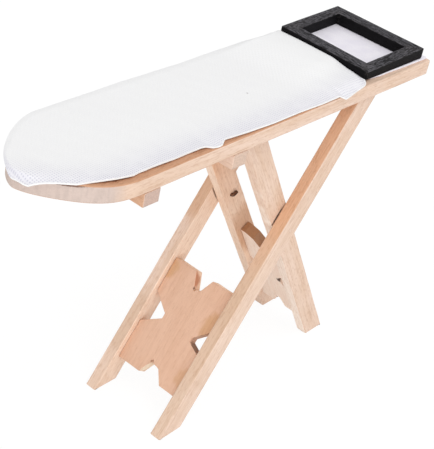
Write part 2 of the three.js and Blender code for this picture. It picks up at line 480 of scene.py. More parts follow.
class Recipe:
    """One material's nodes, with short calls that add a node and join its inputs."""

    def __init__(self, name: str) -> None:
        """Starts an empty recipe around a Principled shader."""
        self.material = bpy.data.materials.new(name)
        self.material.use_nodes = True
        self.tree = self.material.node_tree
        self.shader = self.tree.nodes["Principled BSDF"]

    def feed(self, node: bpy.types.Node, values: dict[str | int, Value]) -> None:
        """Sets inputs of a node, or joins them to other sockets.

        Args:
            node: the node.
            values: what each input gets, by its name or number. None leaves it as it is.
        """
        for key, value in values.items():
            if isinstance(value, Socket):
                self.tree.links.new(value, node.inputs[key])
            elif value is not None:
                node.inputs[key].default_value = value

    def add(self, kind: str, *values: Value, **settings: object) -> bpy.types.Node:
        """Adds a node.

        Args:
            kind: the node's type, without its ShaderNode.
            values: what its first inputs get, in order.
            settings: the node's own settings.

        Returns:
            The new node.
        """
        node = self.tree.nodes.new("ShaderNode" + kind)
        for key, setting in settings.items():
            setattr(node, key, setting)
        self.feed(node, dict(enumerate(values)))
        return node

    def math(self, operation: str, a: Value, b: Value = None, clamp: bool = False) -> Socket:
        """One sum of two numbers."""
        return self.add("Math", a, b, operation=operation, use_clamp=clamp).outputs[0]

    def plus(self, a: Value, b: Value, clamp: bool = False) -> Socket:
        """Two numbers added, and kept from 0 to 1 where clamp is set."""
        return self.math("ADD", a, b, clamp)

    def minus(self, a: Value, b: Value) -> Socket:
        """The second number taken from the first."""
        return self.math("SUBTRACT", a, b)

    def times(self, a: Value, b: Value) -> Socket:
        """Two numbers multiplied."""
        return self.math("MULTIPLY", a, b)

    def vector(self, operation: str, a: Value, b: Value) -> Socket:
        """One sum of two vectors, which is a number for a dot product or a distance."""
        node = self.add("VectorMath", a, b, operation=operation)
        return node.outputs["Value" if operation in ("DOT_PRODUCT", "DISTANCE") else "Vector"]

    def span(
        self, value: Value, start: float, end: float, low: float = 0.0, high: float = 1.0
    ) -> Socket:
        """A smooth step from low, where value is start, to high, where it is end."""
        steps = (value, start, end, low, high)
        return self.add("MapRange", *steps, interpolation_type="SMOOTHSTEP").outputs[0]

    def mix(self, share: Value, a: Value, b: Value, blend: str = "MIX") -> Socket:
        """Goes from colour a to colour b by a share.

        Args:
            share: how much of b there is, 0 to 1.
            a: the first colour.
            b: the second colour.
            blend: how b is laid over a.

        Returns:
            The new colour.
        """
        node = self.add("Mix", share, data_type="RGBA", blend_type=blend)
        self.feed(node, {6: a, 7: b})
        return node.outputs[2]

    def noise(self, place: Value, scale: float, detail: float = 2.0, swirl: float = 0.0) -> Socket:
        """Cloudy noise with lumps of about 1 over scale millimetres.

        Args:
            place: where it is read.
            scale: the lumps in a millimetre.
            detail: how many finer layers it has.
            swirl: how far the layers twist it.

        Returns:
            The noise, 0 to 1.
        """
        node = self.add("TexNoise")
        inputs = {"Vector": place, "Scale": scale, "Detail": detail, "Distortion": swirl}
        self.feed(node, inputs)
        return node.outputs[0]

    def streaks(
        self, place: Value, share: float, scale: float, detail: float = 2.0, swirl: float = 0.0
    ) -> Socket:
        """Noise drawn out along Z, where share is the width of its lumps over their length."""
        drawn = self.vector("MULTIPLY", place, (1.0, 1.0, share))
        return self.noise(drawn, scale, detail, swirl)

    def millimetres(self, turn: Triple = (0.0, 0.0, 0.0)) -> Socket:
        """The place on the piece in millimetres, turned by angles in degrees."""
        own = self.add("TexCoord").outputs["Object"]
        mapping = self.add("Mapping")
        angles = tuple(math.radians(angle) for angle in turn)
        self.feed(mapping, {"Vector": own, "Rotation": angles, "Scale": (1 / MM,) * 3})
        return mapping.outputs[0]

    def facing(self, direction: Triple) -> Socket:
        """How squarely the surface faces along a direction, or against it, from 0 to 1."""
        own = self.add("TexCoord").outputs["Normal"]
        return self.math("ABSOLUTE", self.vector("DOT_PRODUCT", own, direction))

    def attribute(self, name: str) -> Socket:
        """A number that the mesh keeps at its points."""
        return self.add("Attribute", attribute_name=name).outputs["Fac"]

    def finish(
        self, colour: Value, roughness: Value, height: Value, depth: float,
        strength: float = 1.0, specular: float | None = None,
    ) -> Material:
        """Joins the colour, roughness and relief to the shader.

        Args:
            colour: the surface's colour.
            roughness: its roughness.
            height: the relief, from 0 to 1.
            depth: the relief's depth in millimetres.
            strength: how much of the relief shows.
            specular: the strength of its gloss, if not the shader's usual.

        Returns:
            The finished material.
        """
        relief = {"Strength": strength, "Distance": depth * MM, "Height": height}
        bump = self.add("Bump")
        self.feed(bump, relief)
        surface = {"Base Color": colour, "Roughness": roughness, "Normal": bump.outputs[0]}
        self.feed(self.shader, {**surface, "Specular IOR Level": specular})
        return self.material


@dataclass(frozen=True)
class Grain:
    """The way that the fibres of a wooden piece run."""

    direction: Triple
    turn: Triple

    @staticmethod
    def leaning(degrees: float) -> "Grain":
        """Fibres in the X-Z plane that lean to the heel from upright."""
        lean = math.radians(degrees)
        return Grain((math.sin(lean), 0.0, math.cos(lean)), (0.0, -degrees, 0.0))


GRAIN_ALONG = Grain((1.0, 0.0, 0.0), (0.0, -90.0, 0.0))
GRAIN_ACROSS = Grain((0.0, 1.0, 0.0), (90.0, 0.0, 0.0))


class Where(Enum):
    """Which surfaces of a piece a mark shows on, by how squarely they face its broad side."""

    EVERYWHERE = None
    ON_FACE = (0.3, 0.6)
    ON_EDGES = (0.8, 0.4)


@dataclass(frozen=True)
class Mark:
    """A stain, knot or scorched spot on the wood, a stretch of another tone, or painted light or
    shade.

    A mark with a run is drawn out tenfold in that direction, a unit vector.
    """

    place: Triple
    reach: float
    colour: Triple
    strength: float = 0.8
    where: Where = Where.EVERYWHERE
    run: Triple | None = None


@dataclass(frozen=True)
class Wood:
    """Bare sanded beech: long bands, fine fibres, short rays and darker sawn ends.

    The fibres and rays are laid over the bands and marks, as a filter of their own tone.
    A mark's outline is ragged by a share of its reach and soft to another.
    """

    name: str
    grain: Grain
    pale: Triple = (239, 213, 195)
    deep: Triple = (227, 196, 171)
    end: Triple = (230, 202, 184)
    marks: tuple[Mark, ...] = ()
    face: Triple = (0.0, 1.0, 0.0)
    end_from: Pair = (0.6, 0.93)
    end_depth: float = 0.94
    end_stretch: Triple = (1.0, 1.0, 1.0)
    fibre: Triple = (226, 212, 200)
    flecks: float = 0.4
    bands: Streak = Streak(0.06, 0.5, 3.0, 0.8)
    bands_shown: Step = Step(0.3, 0.72, 0.0, 0.6)
    blotches: Cloud = Cloud(0.11)
    blotches_shown: Step = Step(0.35, 0.65, -0.1, 0.25)
    fibres: Streak = Streak(0.035, 3.6, 3.0)
    fibres_shown: Pair = (0.42, 0.72)
    rays: Streak = Streak(0.26, 2.9, 1.5)
    rays_shown: Step = Step(0.5, 0.7)
    pores: Cloud = Cloud(3.0)
    pores_shown: Step = Step(0.38, 0.66)
    rubbed_shown: Step = Step(0.4, 0.6, 0.0, 0.12)
    rubbed_depth: float = 0.9
    roughness: Step = Step(0.2, 0.8, 0.56, 0.72)
    fibre_height: float = 0.7
    pore_height: float = 0.3
    ray_height: float = 0.3
    relief: float = 0.06
    gloss: float = 0.3
    mark_lumps: float = 1.6
    mark_ragged: float = 0.7
    mark_soft: float = 0.55
    mark_drawn: float = 0.9

    def material(self) -> Material:
        """Mixes the bands, fibres, rays, ends and marks into one material.

        Returns:
            The material.
        """
        mix = Recipe(self.name)
        own = mix.millimetres()
        place = mix.millimetres(self.grain.turn)
        bands = mix.streaks(place, *self.bands)
        fibres = mix.streaks(place, *self.fibres)
        rays = mix.streaks(place, *self.rays)
        blotches = mix.noise(place, *self.blotches)
        dashes = mix.span(rays, *self.rays_shown)
        banded = mix.span(bands, *self.bands_shown)
        share = mix.plus(banded, mix.span(blotches, *self.blotches_shown), clamp=True)
        colour = mix.mix(share, linear(self.pale), linear(self.deep))
        pores = mix.noise(mix.vector("MULTIPLY", place, self.end_stretch), *self.pores)
        sawn = linear(self.end, self.end_depth)
        end = mix.mix(mix.span(pores, *self.pores_shown), linear(self.end), sawn)
        cut = mix.span(mix.facing(self.grain.direction), *self.end_from)
        colour = mix.mix(cut, colour, end)
        rubbed = mix.times(mix.attribute("worn"), mix.span(blotches, *self.rubbed_shown))
        colour = mix.mix(rubbed, colour, linear(self.deep, self.rubbed_depth))
        for mark in self.marks:
            colour = mix.mix(self.spot(mix, own, mark), colour, linear(mark.colour))
        dark = mix.span(fibres, *self.fibres_shown, 0.0, self.flecks)
        dark = mix.plus(dark, mix.times(dashes, self.flecks))
        dark = mix.times(dark, mix.minus(1.0, cut))
        filtered = mix.math("MINIMUM", dark, 1.0)
        colour = mix.mix(filtered, colour, linear(self.fibre), "MULTIPLY")
        rough = mix.span(fibres, *self.roughness)
        grained = mix.times(fibres, self.fibre_height)
        height = mix.plus(grained, mix.times(pores, self.pore_height))
        height = mix.minus(height, mix.times(dashes, self.ray_height))
        return mix.finish(colour, rough, height, self.relief, specular=self.gloss)

    def spot(self, mix: Recipe, own: Socket, mark: Mark) -> Socket:
        """How strongly one mark shows at a place.

        Args:
            mix: the recipe to add to.
            own: the place on the piece in millimetres.
            mark: the mark.

        Returns:
            A share from 0 to the mark's strength.
        """
        here = own
        if mark.run:
            along = mix.vector("DOT_PRODUCT", mix.vector("SUBTRACT", own, mark.place), mark.run)
            drawn = (mix.times(along, self.mark_drawn * part) for part in mark.run)
            here = mix.vector("SUBTRACT", own, mix.add("CombineXYZ", *drawn).outputs[0])
        away = mix.vector("DISTANCE", here, mark.place)
        rough = mark.reach * self.mark_ragged
        ragged = mix.times(mix.noise(own, self.mark_lumps / mark.reach), rough)
        away = mix.plus(away, mix.minus(ragged, rough / 2))
        shown = mix.span(away, mark.reach, mark.reach * self.mark_soft, 0.0, mark.strength)
        if mark.where.value:
            shown = mix.times(shown, mix.span(mix.facing(self.face), *mark.where.value))
        return shown


@dataclass(frozen=True)
class WovenCotton:
    """White plain-woven cotton: round threads, small dark gaps, a greyer hem and painted shade
    where it turns to face the nose.
    """

    name: str = "white_cotton"
    white: Triple = (243, 243, 243)
    hem_tone: Triple = (234, 233, 238)
    droop_painted_shade: Triple = (228, 227, 233)
    gap: Triple = (196, 195, 209)
    fleck: Triple = (2.94, -2.11, 76.6)
    fleck_tone: Triple = (160, 155, 156)
    fleck_shown: Step = Step(0.32, 0.12, 0.0, 0.7)
    pitch: float = 0.5
    drift: Cloud = Cloud(0.25)
    drift_reach: Pair = (0.5, -0.4)
    fuzz: Cloud = Cloud(5.0)
    fuzz_shown: Step = Step(0.3, 0.8, 0.0, 0.2)
    patches: Cloud = Cloud(0.3)
    patches_shown: Step = Step(0.3, 0.55, 0.25, 1.0)
    inside_hem: Step = Step(0.9997, 0.997)
    hem_share: float = 0.8
    least_share: float = 0.05
    gaps_shown: Step = Step(0.45, 0.95)
    droop_shade_from: Step = Step(0.2, 0.7)
    roughness: Step = Step(0.2, 0.8, 0.82, 0.95)
    thread_height: float = 0.5
    fuzz_height: float = 0.4
    relief: float = 0.05
    relief_shown: float = 0.5
    gloss: float = 0.15
    sheen: float = 0.1

    def material(self) -> Material:
        """Mixes threads, gaps, soft soiling and painted shade on nose-facing cloth into one
        material.

        Returns:
            The material.
        """
        mix = Recipe(self.name)
        place = mix.millimetres()
        drift = mix.noise(place, *self.drift)
        shifts = (mix.times(drift, reach) for reach in self.drift_reach)
        shift = mix.add("CombineXYZ", *shifts, 0.0)
        parts = mix.add("SeparateXYZ", mix.vector("ADD", place, shift.outputs[0]))
        turn = math.pi / self.pitch
        threads = (mix.math("SINE", mix.times(parts.outputs[axis], turn)) for axis in (0, 1))
        over = mix.times(*threads)
        hem = mix.attribute("hem")
        fuzz = mix.noise(place, *self.fuzz)
        patch = mix.span(mix.noise(place, *self.patches), *self.patches_shown)
        inside = mix.span(hem, *self.inside_hem)
        shown = mix.times(mix.times(hem, patch), self.hem_share)
        shown = mix.times(mix.plus(shown, self.least_share), inside)
        gaps = mix.times(mix.span(mix.math("ABSOLUTE", over), *self.gaps_shown), shown)
        fuzzy = mix.span(fuzz, *self.fuzz_shown)
        tone = mix.plus(mix.times(hem, self.hem_share), fuzzy, clamp=True)
        # Painted shade: the cloth turns greyer where it faces the nose, as at the drooping tip.
        droop = mix.span(mix.facing((-1.0, 0.0, 0.0)), *self.droop_shade_from)
        spot = mix.span(mix.vector("DISTANCE", place, self.fleck), *self.fleck_shown)
        colour = mix.mix(mix.times(tone, inside), linear(self.white), linear(self.hem_tone))
        colour = mix.mix(mix.times(droop, inside), colour, linear(self.droop_painted_shade))
        colour = mix.mix(gaps, colour, linear(self.gap))
        colour = mix.mix(spot, colour, linear(self.fleck_tone))
        rough = mix.span(fuzz, *self.roughness)
        woven = mix.times(over, self.thread_height)
        height = mix.plus(woven, mix.times(fuzz, self.fuzz_height))
        mix.feed(mix.shader, {"Sheen Weight": self.sheen})
        return mix.finish(colour, rough, height, self.relief, self.relief_shown, self.gloss)


@dataclass(frozen=True)
class FeltPaper:
    """Thin white felt paper with short pressed fibres."""

    name: str = "felt_paper"
    white: Triple = (247, 244, 250)
    shade: Triple = (234, 230, 241)
    clouds: Cloud = Cloud(0.35, 3.0)
    clouds_shown: Step = Step(0.3, 0.7, 0.0, 0.5)
    fibres: Cloud = Cloud(3.2, 4.0, 2.5)
    fibres_shown: Step = Step(0.4, 0.7, 0.0, 0.5)
    roughness: Step = Step(0.2, 0.8, 0.8, 0.95)
    relief: float = 0.05
    relief_shown: float = 0.6
    gloss: float = 0.2

    def material(self) -> Material:
        """Mixes the fibres and soft clouds into one material.

        Returns:
            The material.
        """
        mix = Recipe(self.name)
        place = mix.millimetres()
        clouds = mix.span(mix.noise(place, *self.clouds), *self.clouds_shown)
        fibres = mix.noise(place, *self.fibres)
        share = mix.plus(clouds, mix.span(fibres, *self.fibres_shown), clamp=True)
        colour = mix.mix(share, linear(self.white), linear(self.shade))
        rough = mix.span(fibres, *self.roughness)
        return mix.finish(colour, rough, fibres, self.relief, self.relief_shown, self.gloss)


@dataclass(frozen=True)
class BlackPaint:
    """One thin coat of black paint on open-grained wood, grey where the grain stands up, with that
    grey kept mostly to upward faces as a painted sheen.
    """

    name: str
    grain: Grain
    black: Triple = (9, 8, 10)
    raised_grain_and_sheen: Triple = (100, 98, 103)
    worn: Triple = (84, 78, 76)
    fibres: Streak = Streak(0.16, 4.2)
    fibres_shown: Step = Step(0.34, 0.62)
    bands: Streak = Streak(0.1, 0.8)
    bands_shown: Step = Step(0.25, 0.65, 0.7, 1.0)
    specks: Cloud = Cloud(3.0)
    specks_shown: Step = Step(0.35, 0.6, 0.6, 1.0)
    top_sheen_shown: Step = Step(0.3, 0.85, 0.04, 1.0)
    rubbed_shown: Step = Step(0.45, 0.65, 0.0, 0.5)
    roughness: Step = Step(0.3, 0.7, 0.6, 0.75)
    relief: float = 0.1
    gloss: float = 0.1

    def material(self) -> Material:
        """Mixes the standing fibres, pores and rubbed edges into one material, the grey of the
        fibres kept to upward faces as a painted sheen.

        Returns:
            The material.
        """
        mix = Recipe(self.name)
        place = mix.millimetres(self.grain.turn)
        fibres = mix.streaks(place, *self.fibres)
        bands = mix.span(mix.streaks(place, *self.bands), *self.bands_shown)
        specks = mix.noise(place, *self.specks)
        share = mix.times(mix.span(fibres, *self.fibres_shown), bands)
        share = mix.times(share, mix.span(specks, *self.specks_shown))
        # Painted sheen: the grey of the standing fibres shows almost only on faces that look up.
        share = mix.times(share, mix.span(mix.facing((0.0, 0.0, 1.0)), *self.top_sheen_shown))
        colour = mix.mix(share, linear(self.black), linear(self.raised_grain_and_sheen))
        rubbed = mix.times(mix.attribute("worn"), mix.span(specks, *self.rubbed_shown))
        colour = mix.mix(rubbed, colour, linear(self.worn))
        rough = mix.span(fibres, *self.roughness)
        return mix.finish(colour, rough, fibres, self.relief, specular=self.gloss)


@dataclass(frozen=True)
class NailWire:
    """Dull wire nail, brown with old rust."""

    name: str = "nail_wire"
    steel: Triple = (112, 72, 46)
    rust: Triple = (74, 42, 24)
    patches: Cloud = Cloud(1.8, 4.0)
    patches_shown: Step = Step(0.4, 0.6)
    pits: Cloud = Cloud(7.0)
    roughness: Step = Step(0.35, 0.65, 0.4, 0.75)
    relief: float = 0.03
    metal: float = 0.2

    def material(self) -> Material:
        """Mixes bare and rusted patches into one material.

        Returns:
            The material.
        """
        mix = Recipe(self.name)
        place = mix.millimetres()
        patches = mix.noise(place, *self.patches)
        pits = mix.noise(place, *self.pits)
        rusted = mix.span(patches, *self.patches_shown)
        colour = mix.mix(rusted, linear(self.steel), linear(self.rust))
        mix.feed(mix.shader, {"Metallic": self.metal})
        return mix.finish(colour, mix.span(patches, *self.roughness), pits, self.relief)


# The board and what is glued to it


@dataclass(frozen=True)
class Linkage:
    """Where the legs turn and stand, shared by every part that meets them."""

    pivot_x: float = 33.15
    pivot_z: float = 69.3
    top_span: float = 32.5
    foot_span: float = 57.9
    outer_face: float = 11.6
    leg_thickness: float = 2.8
    leg_gap: float = 0.3
    nail_drop: float = 1.0
    bore_radius: float = 0.45

    @property
    def tan_lean(self) -> float:
        """The slope of both pairs of legs."""
        return (self.top_span + self.foot_span) / 2 / self.pivot_z

    @property
    def lean(self) -> float:
        """The legs' angle from upright, in radians."""
        return math.atan(self.tan_lean)

    @property
    def cross(self) -> Pair:
        """The crossing nails' x and z."""
        x = self.pivot_x - self.top_span / 2
        return x, self.pivot_z - self.top_span / 2 / self.tan_lean - self.nail_drop

    @property
    def pivot(self) -> Pair:
        """The top nails' x and z."""
        return self.pivot_x, self.pivot_z

    @property
    def outer_inside(self) -> float:
        """The inner face of an outer leg, as a distance from the middle."""
        return self.outer_face - self.leg_thickness

    @property
    def inner_face(self) -> float:
        """The outer face of an inner leg."""
        return self.outer_inside - self.leg_gap

    @property
    def inner_inside(self) -> float:
        """The inner face of an inner leg."""
        return self.inner_face - self.leg_thickness

    def up(self, tilt: int) -> Triple:
        """The way up a pair of legs: tilt is 1 for the outer pair and -1 for the inner."""
        return (tilt * math.sin(self.lean), 0.0, math.cos(self.lean))

    def bore(self, centre: Pair) -> np.ndarray:
        """The outline of a nail's hole."""
        return circle(centre, self.bore_radius, turn=-1)


@dataclass
class Board:
    """The plank with its rounded nose, and the pieces glued below it."""

    linkage: Linkage
    heel_x: float = 56.25
    nose_x: float = -55.15
    half_width: float = 13.0
    top: float = 76.0
    thickness: float = 3.5
    arris: float = 0.35
    cut: Cut = Cut(0.7, 1.5, 0.03, 6)
    nose_points: int = 44
    nose_length: float = 16.5
    nose_power: float = 1.52
    nose_sway: float = 0.95
    bar_cut: Cut = Cut(0.15, 1.0, 0.02)
    bar_arris: float = 0.2
    bar_inset: float = 0.05
    batten_x: Pair = (-36.95, -32.85)
    batten_drop: float = 3.0
    block_x: Pair = (-12.55, -8.45)
    block_drop: float = 3.2
    block_inside: float = 8.9
    pivot_half: float = 2.5
    pivot_drop: float = 4.4
    pivot_arris: float = 0.15
    glue_line: float = 0.02
    marks: tuple[Mark, ...] = (
        Mark((33.07, -13.0, 72.4), 0.35, (176, 132, 100), 0.7),
        # Painted shade, partly glue stain: the board's top turns darker brown towards the near hem
        # that shades it.
        Mark((-22.0, -12.5, 76.0), 60.0, (204, 154, 120), 0.95, Where.ON_FACE),
        # Painted shadow, partly glue: a dark line on the near edge below the overhanging hem by the
        # nose.
        Mark((-50.4, -6.85, 75.85), 0.45, (112, 74, 54), 0.85, Where.ON_EDGES, (0.67, -0.74, 0.0)),
    )
    batten_shade_marks: tuple[Mark, ...] = (
        # Painted shade: the batten's edge faces turn darker and more orange towards its near end,
        # under the board.
        Mark((-36.95, -11.0, 71.0), 5.0, (214, 168, 132), 0.75, Where.ON_EDGES),
    )

    @property
    def underside(self) -> float:
        """The height of the plank's lower face."""
        return self.top - self.thickness

    def sway(self, u: np.ndarray) -> np.ndarray:
        """How far the nose's edge is moved across.

        The move is the sway times the root of 1 - u times the cosine of 3/2 pi u, so the tip
        lies a little to the far side, and the near side bulges where it meets the straight edge.

        Args:
            u: the place along the nose, 0 at its tip and 1 where the sides are parallel.

        Returns:
            The moves in y.
        """
        u = np.clip(u, 0, 1)
        return self.nose_sway * np.sqrt(1 - u) * np.cos(1.5 * math.pi * u)

    def outline(self) -> np.ndarray:
        """The plank from above, counter-clockwise from the near heel corner.

        The nose's half width is the half width times sin a to the power 2/p, where the
        distance from the nose's tip is its length times u = 1 - cos a to the power 2/p. Both
        sides are moved across by the sway at u, the far side only outward.

        Returns:
            The outline.
        """
        angles = np.linspace(0, math.pi / 2, self.nose_points)
        power = 2 / self.nose_power
        u = 1 - np.cos(angles) ** power
        x = self.nose_x + self.nose_length * u
        y = self.half_width * np.sin(angles) ** power
        sway = self.sway(u)
        far = np.stack([x, y + np.maximum(sway, 0)], axis=1)[::-1]
        near = np.stack([x, sway - y], axis=1)[1:]
        heel = np.array([[self.heel_x, -self.half_width], [self.heel_x, self.half_width]])
        return self.cut.outline(np.concatenate([heel, far, near]), seed=3)

    def bar(self, x: Pair, drop: float, seed: int) -> np.ndarray:
        """The section of a bar glued under the plank, in X and Z.

        Args:
            x: where it starts and ends along the board.
            drop: how far it reaches down from the plank.
            seed: what its unevenness is drawn from.

        Returns:
            The outline.
        """
        high = self.underside - self.glue_line
        low = self.underside - drop
        corners = np.array([[x[0], low], [x[1], low], [x[1], high], [x[0], high]])
        return self.bar_cut.outline(corners, seed)

    def build(self) -> None:
        """Makes the plank, the nose batten, the two side blocks and the pivot block."""
        plank = Wood(
            "board_wood", GRAIN_ALONG, end=(209, 190, 180), marks=self.marks, face=(0.0, 0.0, 1.0),
            end_from=(0.12, 0.45), end_stretch=(0.12, 0.5, 0.5), end_depth=0.965,
        )
        shape = slab(self.outline(), self.underside, self.top, self.arris, LEVEL)
        piece("board_plank", shape, "board_body", plank.material(), ("board",))
        batten = Wood("batten_wood", GRAIN_ACROSS, end=(208, 180, 166), marks=self.batten_shade_marks)
        crosswise = batten.material()
        reach = self.half_width - self.bar_inset
        bar = self.bar(self.batten_x, self.batten_drop, seed=5)
        shape = slab(bar, -reach, reach, self.bar_arris, UPRIGHT)
        piece("batten_under_nose", shape, "board_body", crosswise, ("nose_batten",))
        bar = self.bar(self.block_x, self.block_drop, seed=6)
        paler = Wood("block_wood", GRAIN_ACROSS, end=(221, 193, 174)).material()
        for side in Side:
            shape = slab(bar, *side.depths(self.block_inside, reach), self.bar_arris, UPRIGHT)
            name, replaced = f"side_block_{side.label}", f"mid_block_{side.label}"
            piece(name, shape, "board_body", paler, (replaced,))
        centre, half = self.linkage.pivot_x, self.linkage.inner_face
        span = (centre - self.pivot_half, centre + self.pivot_half)
        bar = self.bar(span, self.pivot_drop, seed=7)
        holes = (self.linkage.bore(self.linkage.pivot),)
        shape = slab(bar, -half, half, self.pivot_arris, UPRIGHT, holes)
        piece("leg_pivot_block", shape, "board_body", crosswise, ("pivot_block",))


@dataclass
class ClothCover:
    """The white cotton on the board, glued flat, with a hand-cut near hem.

    A row of the hem is a place along the board, how far the hem lies from the middle there,
    and its height. A row of the far edge is a place and how much further out it lies there.
    """

    board: Board
    heel_end: float = 31.15
    nose_x: float = -56.25
    overhang: float = 1.1
    height: float = 76.52
    thickness: float = 0.27
    rows: int = 320
    row_power: float = 1.5
    columns: int = 64
    column_ease: float = 0.65
    waves: tuple[tuple[float, float, float, float], ...] = (
        (0.025, 0.21, 0.33, 0.0), (0.02, 0.47, -0.26, 1.1), (0.012, 1.3, 0.7, 0.4),
    )
    edge_drop: float = 0.12
    edge_start: float = 0.3
    edge_power: float = 1.4
    tip_droop: float = 1.0
    tip_power: float = 1.3
    tip_half: float = 7.0
    rise_near: float = 0.8
    rise_far: float = 1.5
    step_start: float = -7.5
    step_width: float = 5.7
    rise_before: float = 19.0
    rise_length: float = 15.0
    rise_edge: float = 0.2
    edge_width: float = 2.2
    hem_held: float = 1.7
    hem_tinted: float = 4.5
    tip_tint: float = 0.4
    rim_width: float = 0.09
    hem: tuple[Triple, ...] = (
        (-56.25, 0, 75.2), (-56.1, 1.2, 75.35), (-55.95, 2.25, 75.45), (-55.5, 3.4, 75.4),
        (-54.8, 4.05, 75.82), (-54.1, 4.5, 76.0), (-53.1, 5.3, 76.2), (-51.85, 6.15, 76.22),
        (-50.6, 7.3, 76.28), (-49.35, 8.3, 76.28), (-47.6, 9.0, 76.34), (-45.8, 9.9, 76.55),
        (-43.05, 11.15, 76.8), (-40.6, 11.55, 76.66), (-39.25, 11.66, 76.5), (-37.5, 11.42, 76.44),
        (-36.3, 11.62, 76.58), (-34.6, 11.5, 76.52), (-31.8, 11.7, 76.64), (-28.7, 11.75, 76.54),
        (-25.4, 11.65, 76.5), (-22, 11.85, 76.7), (-20.8, 12.0, 76.62), (-19.4, 12.7, 76.35),
        (-18, 13.0, 76.32), (-17.1, 12.9, 76.36), (-16.4, 12.5, 76.5), (-15.75, 12.15, 76.62),
        (-15.2, 12.05, 76.6), (-8.8, 12.55, 76.56), (-1.5, 12.85, 76.48), (6.8, 12.75, 76.42),
        (14.7, 13.0, 76.36), (19.9, 13.1, 76.55), (20.5, 13.2, 76.36), (21.0, 13.5, 76.1),
        (21.6, 13.85, 75.82), (23.2, 13.68, 75.98), (26.4, 13.15, 76.12), (28.6, 12.95, 76.28),
        (30.1, 12.7, 76.4), (30.8, 12.25, 76.45), (31.15, 11.6, 76.75),
    )
    far_extra: tuple[Pair, ...] = (
        (-38, 0), (-33, 0.1), (-16, 0.4), (0, 0.25), (14, 0.7), (21, 0.5), (27, -0.1), (31.15, 0.2),
    )

    def edges(self, x: np.ndarray) -> tuple[np.ndarray, np.ndarray]:
        """Where the near hem and the far edge lie.

        The near hem follows its table. The far edge is the board's nose curve, further out
        by the overhang: half width times (1 - (1-u)^p)^(1/p), plus what its own table adds.

        Args:
            x: places along the board.

        Returns:
            The y of the near hem and of the far edge at each place.
        """
        table = np.array(self.hem)
        near = np.interp(x, table[:, 0], table[:, 1])
        power = self.board.nose_power
        u = np.clip((x - self.nose_x) / (self.board.nose_length + self.overhang), 0, 1)
        far = (1 - (1 - u) ** power) ** (1 / power)
        extra = np.array(self.far_extra)
        far = (self.board.half_width + self.overhang) * far + np.interp(x, extra[:, 0], extra[:, 1])
        return -near, far

    def beyond(self, x: np.ndarray, y: np.ndarray) -> np.ndarray:
        """How far a place lies outside the board's outline, negative inside it.

        Beside the nose it is the distance from the nose's centre times 1 - 1/r, where r is
        the superellipse ((c-x)/length)^p + (|y|/half)^p to the power 1/p. On the far side y is
        taken from the nose's swayed middle.

        Args:
            x: places along the board.
            y: places across it.

        Returns:
            The distances.
        """
        board = self.board
        centre = board.nose_x + board.nose_length
        back = np.maximum(centre - x, 0)
        radius = (back / board.nose_length) ** board.nose_power
        sway = np.clip(board.sway(1 - back / board.nose_length), 0, np.maximum(y, 0))
        across = np.abs(y - sway) / board.half_width
        radius = (radius + across ** board.nose_power) ** (1 / board.nose_power)
        return np.hypot(back, y) * (1 - 1 / np.maximum(radius, LEAST_RADIUS))

    def surface(self) -> tuple[np.ndarray, np.ndarray]:
        """The cloth's upper side as a grid from nose to heel and from near hem to far edge.

        The height is the glued level, plus slow waves, each its size times the sine of a x +
        b y + c, minus a drop that grows as the edge power of how far the cloth passes the
        board's edge, minus a deeper droop round the nose's tip, plus the rise up the side of
        the rest frame, which is higher on the far half and all but gone at the far edge. Near
        the hem it goes over to the height that the table gives.

        Returns:
            The points, rows by columns by 3, and how near each is to the hem, 0 to 1.
        """
        t = np.linspace(0, 1, self.rows) ** self.row_power
        x = self.nose_x + (self.heel_end - self.nose_x) * t
        near, far = self.edges(x)
        share = np.linspace(0, 1, self.columns)
        share += self.column_ease * (0.5 - 0.5 * np.cos(math.pi * share) - share)
        y = near[:, None] + (far - near)[:, None] * share[None]
        x = np.broadcast_to(x[:, None], y.shape)
        slope = 1 / np.hypot(1, np.gradient(near, x[:, 0]))
        from_hem = (y - near[:, None]) * slope[:, None]
        waves = sum(size * np.sin(a * x + b * y + c) for size, a, b, c in self.waves)
        table = np.array(self.hem)
        at_hem = np.interp(x, table[:, 0], table[:, 2])
        beyond = self.beyond(x, y)
        drop = self.edge_drop * np.maximum(beyond + self.edge_start, 0) ** self.edge_power
        droop = self.tip_droop * np.maximum(beyond, 0) ** self.tip_power
        drop += droop * np.exp(-((y / self.tip_half) ** 2))
        step = eased((y - self.step_start) / self.step_width)
        rise = self.rise_near + (self.rise_far - self.rise_near) * step
        rise *= eased((self.rise_before - self.heel_end + x) / self.rise_length)
        held = eased((far[:, None] - y) / self.edge_width)
        rise *= self.rise_edge + (1 - self.rise_edge) * held
        level = self.height + waves - drop + rise
        z = level + (at_hem - level) * np.exp(-((from_hem / self.hem_held) ** 2))
        return np.stack([x, y, z], axis=2), np.exp(-((from_hem / self.hem_tinted) ** 2))

    def build(self) -> None:
        points, hem = self.surface()
        whole = np.concatenate([points[:1, 0], points[1:].reshape(-1, 3)])
        grid = np.array(strip_faces(self.rows - 1, self.columns, 1, closed=False))
        first = np.arange(1, self.columns)
        fan = np.stack([np.zeros_like(first), first, first + 1], axis=1)
        faces = grid[:, [0, 3, 2, 1]].tolist() + fan.tolist()
        shape = Shape(whole, faces, np.zeros(len(whole)))
        cloth = WovenCotton().material()
        cover = piece("cotton_cover", shape, "board_body", cloth, ("fabric_cover",))
        near_hem = cover.data.attributes.new("hem", "FLOAT", "POINT")
        shares = np.concatenate([[self.tip_tint], hem[1:].reshape(-1)])
        near_hem.data.foreach_set("value", shares.astype(np.float32))
        thick = cover.modifiers.new("cloth_thickness", "SOLIDIFY")
        thick.thickness, thick.offset = self.thickness * MM, -1
        rim = cover.modifiers.new("soft_rim", "BEVEL")
        rim.width, rim.segments, rim.angle_limit = self.rim_width * MM, 2, math.radians(60)
        cover.modifiers.move(0, 2)


